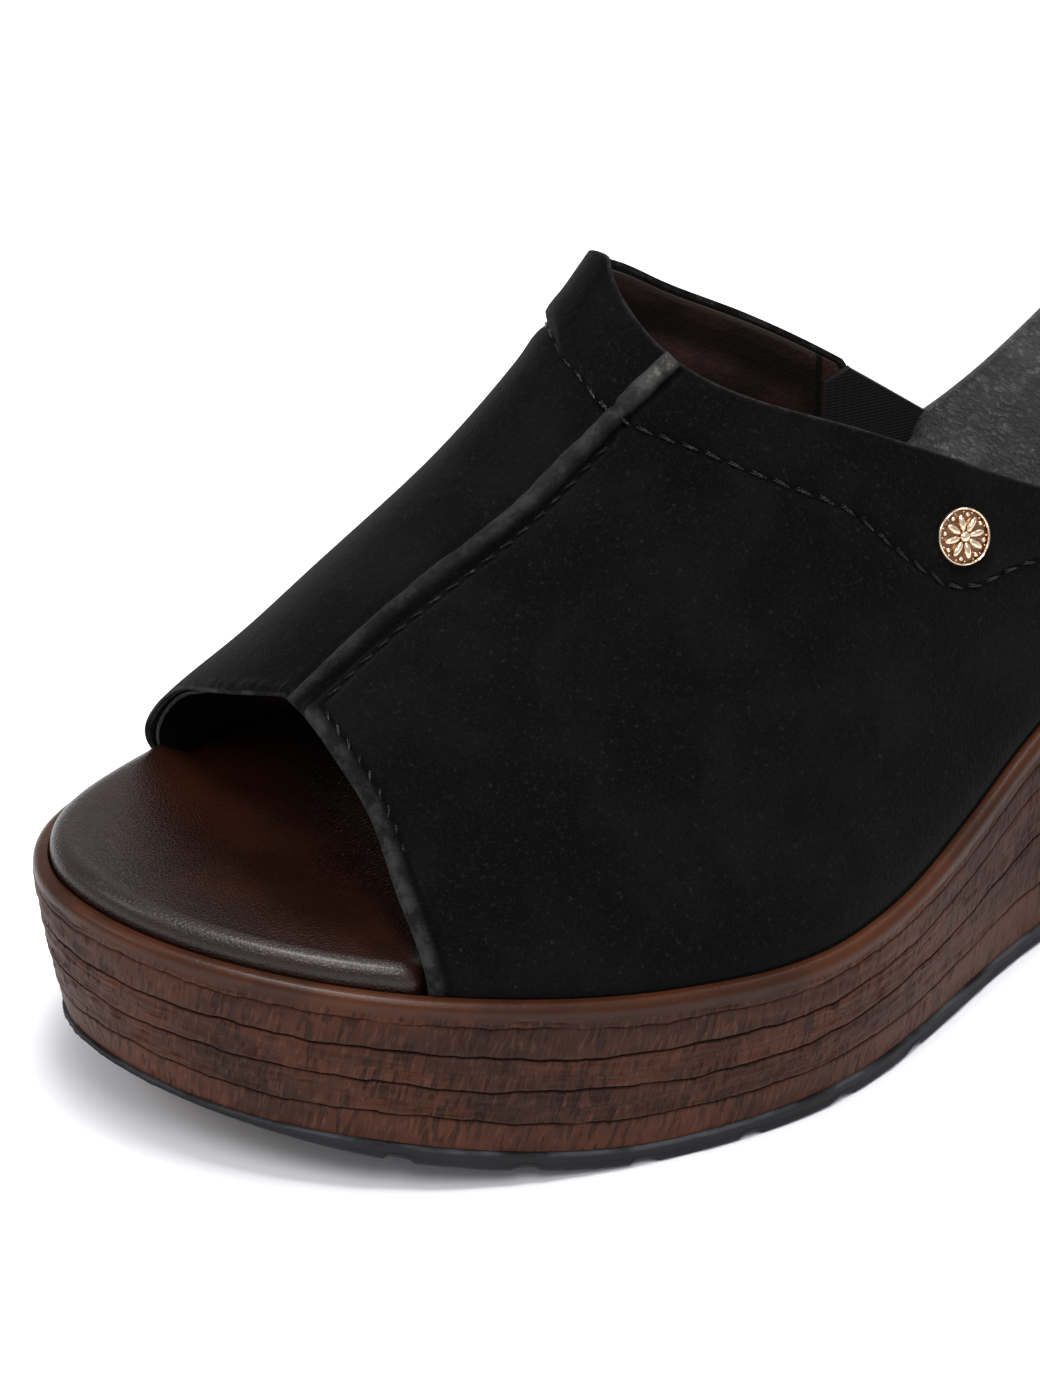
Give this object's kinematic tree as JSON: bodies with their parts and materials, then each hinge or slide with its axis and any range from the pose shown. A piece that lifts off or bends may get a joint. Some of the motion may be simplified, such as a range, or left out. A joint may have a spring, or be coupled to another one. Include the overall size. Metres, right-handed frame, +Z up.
{
  "type": "wedge slide sandal",
  "caption": "Woman's open-toed wedge slide sandal for the left foot, with a nubuck upper, layered platform and cushioned footbed.",
  "frame": {"origin": "on the floor, under the middle of the sole's length, at the mount ground", "axes": "+Z up, toe towards -Y, heel towards +Y, +X the outer side of the foot"},
  "size_m": [0.092, 0.252, 0.0935],
  "materials": {
    "platform": "moulded and finished as layered brown wood, satin",
    "outsole": "dark grey rubber",
    "insole_toe": "dark brown grained leather, semi-gloss",
    "insole_heel": "dark grey grained leather, matt",
    "upper": "black nubuck, matt",
    "side_gore": "black elastic webbing",
    "badge": "rose-gold plated, polished"
  },
  "bodies": {
    "root": {"platform": "platform", "outsole": "outsole", "insole_toe": "insole_toe", "insole_heel": "insole_heel", "upper": "upper", "side_gore": "side_gore", "badge": "badge"}
  },
  "joints": []
}
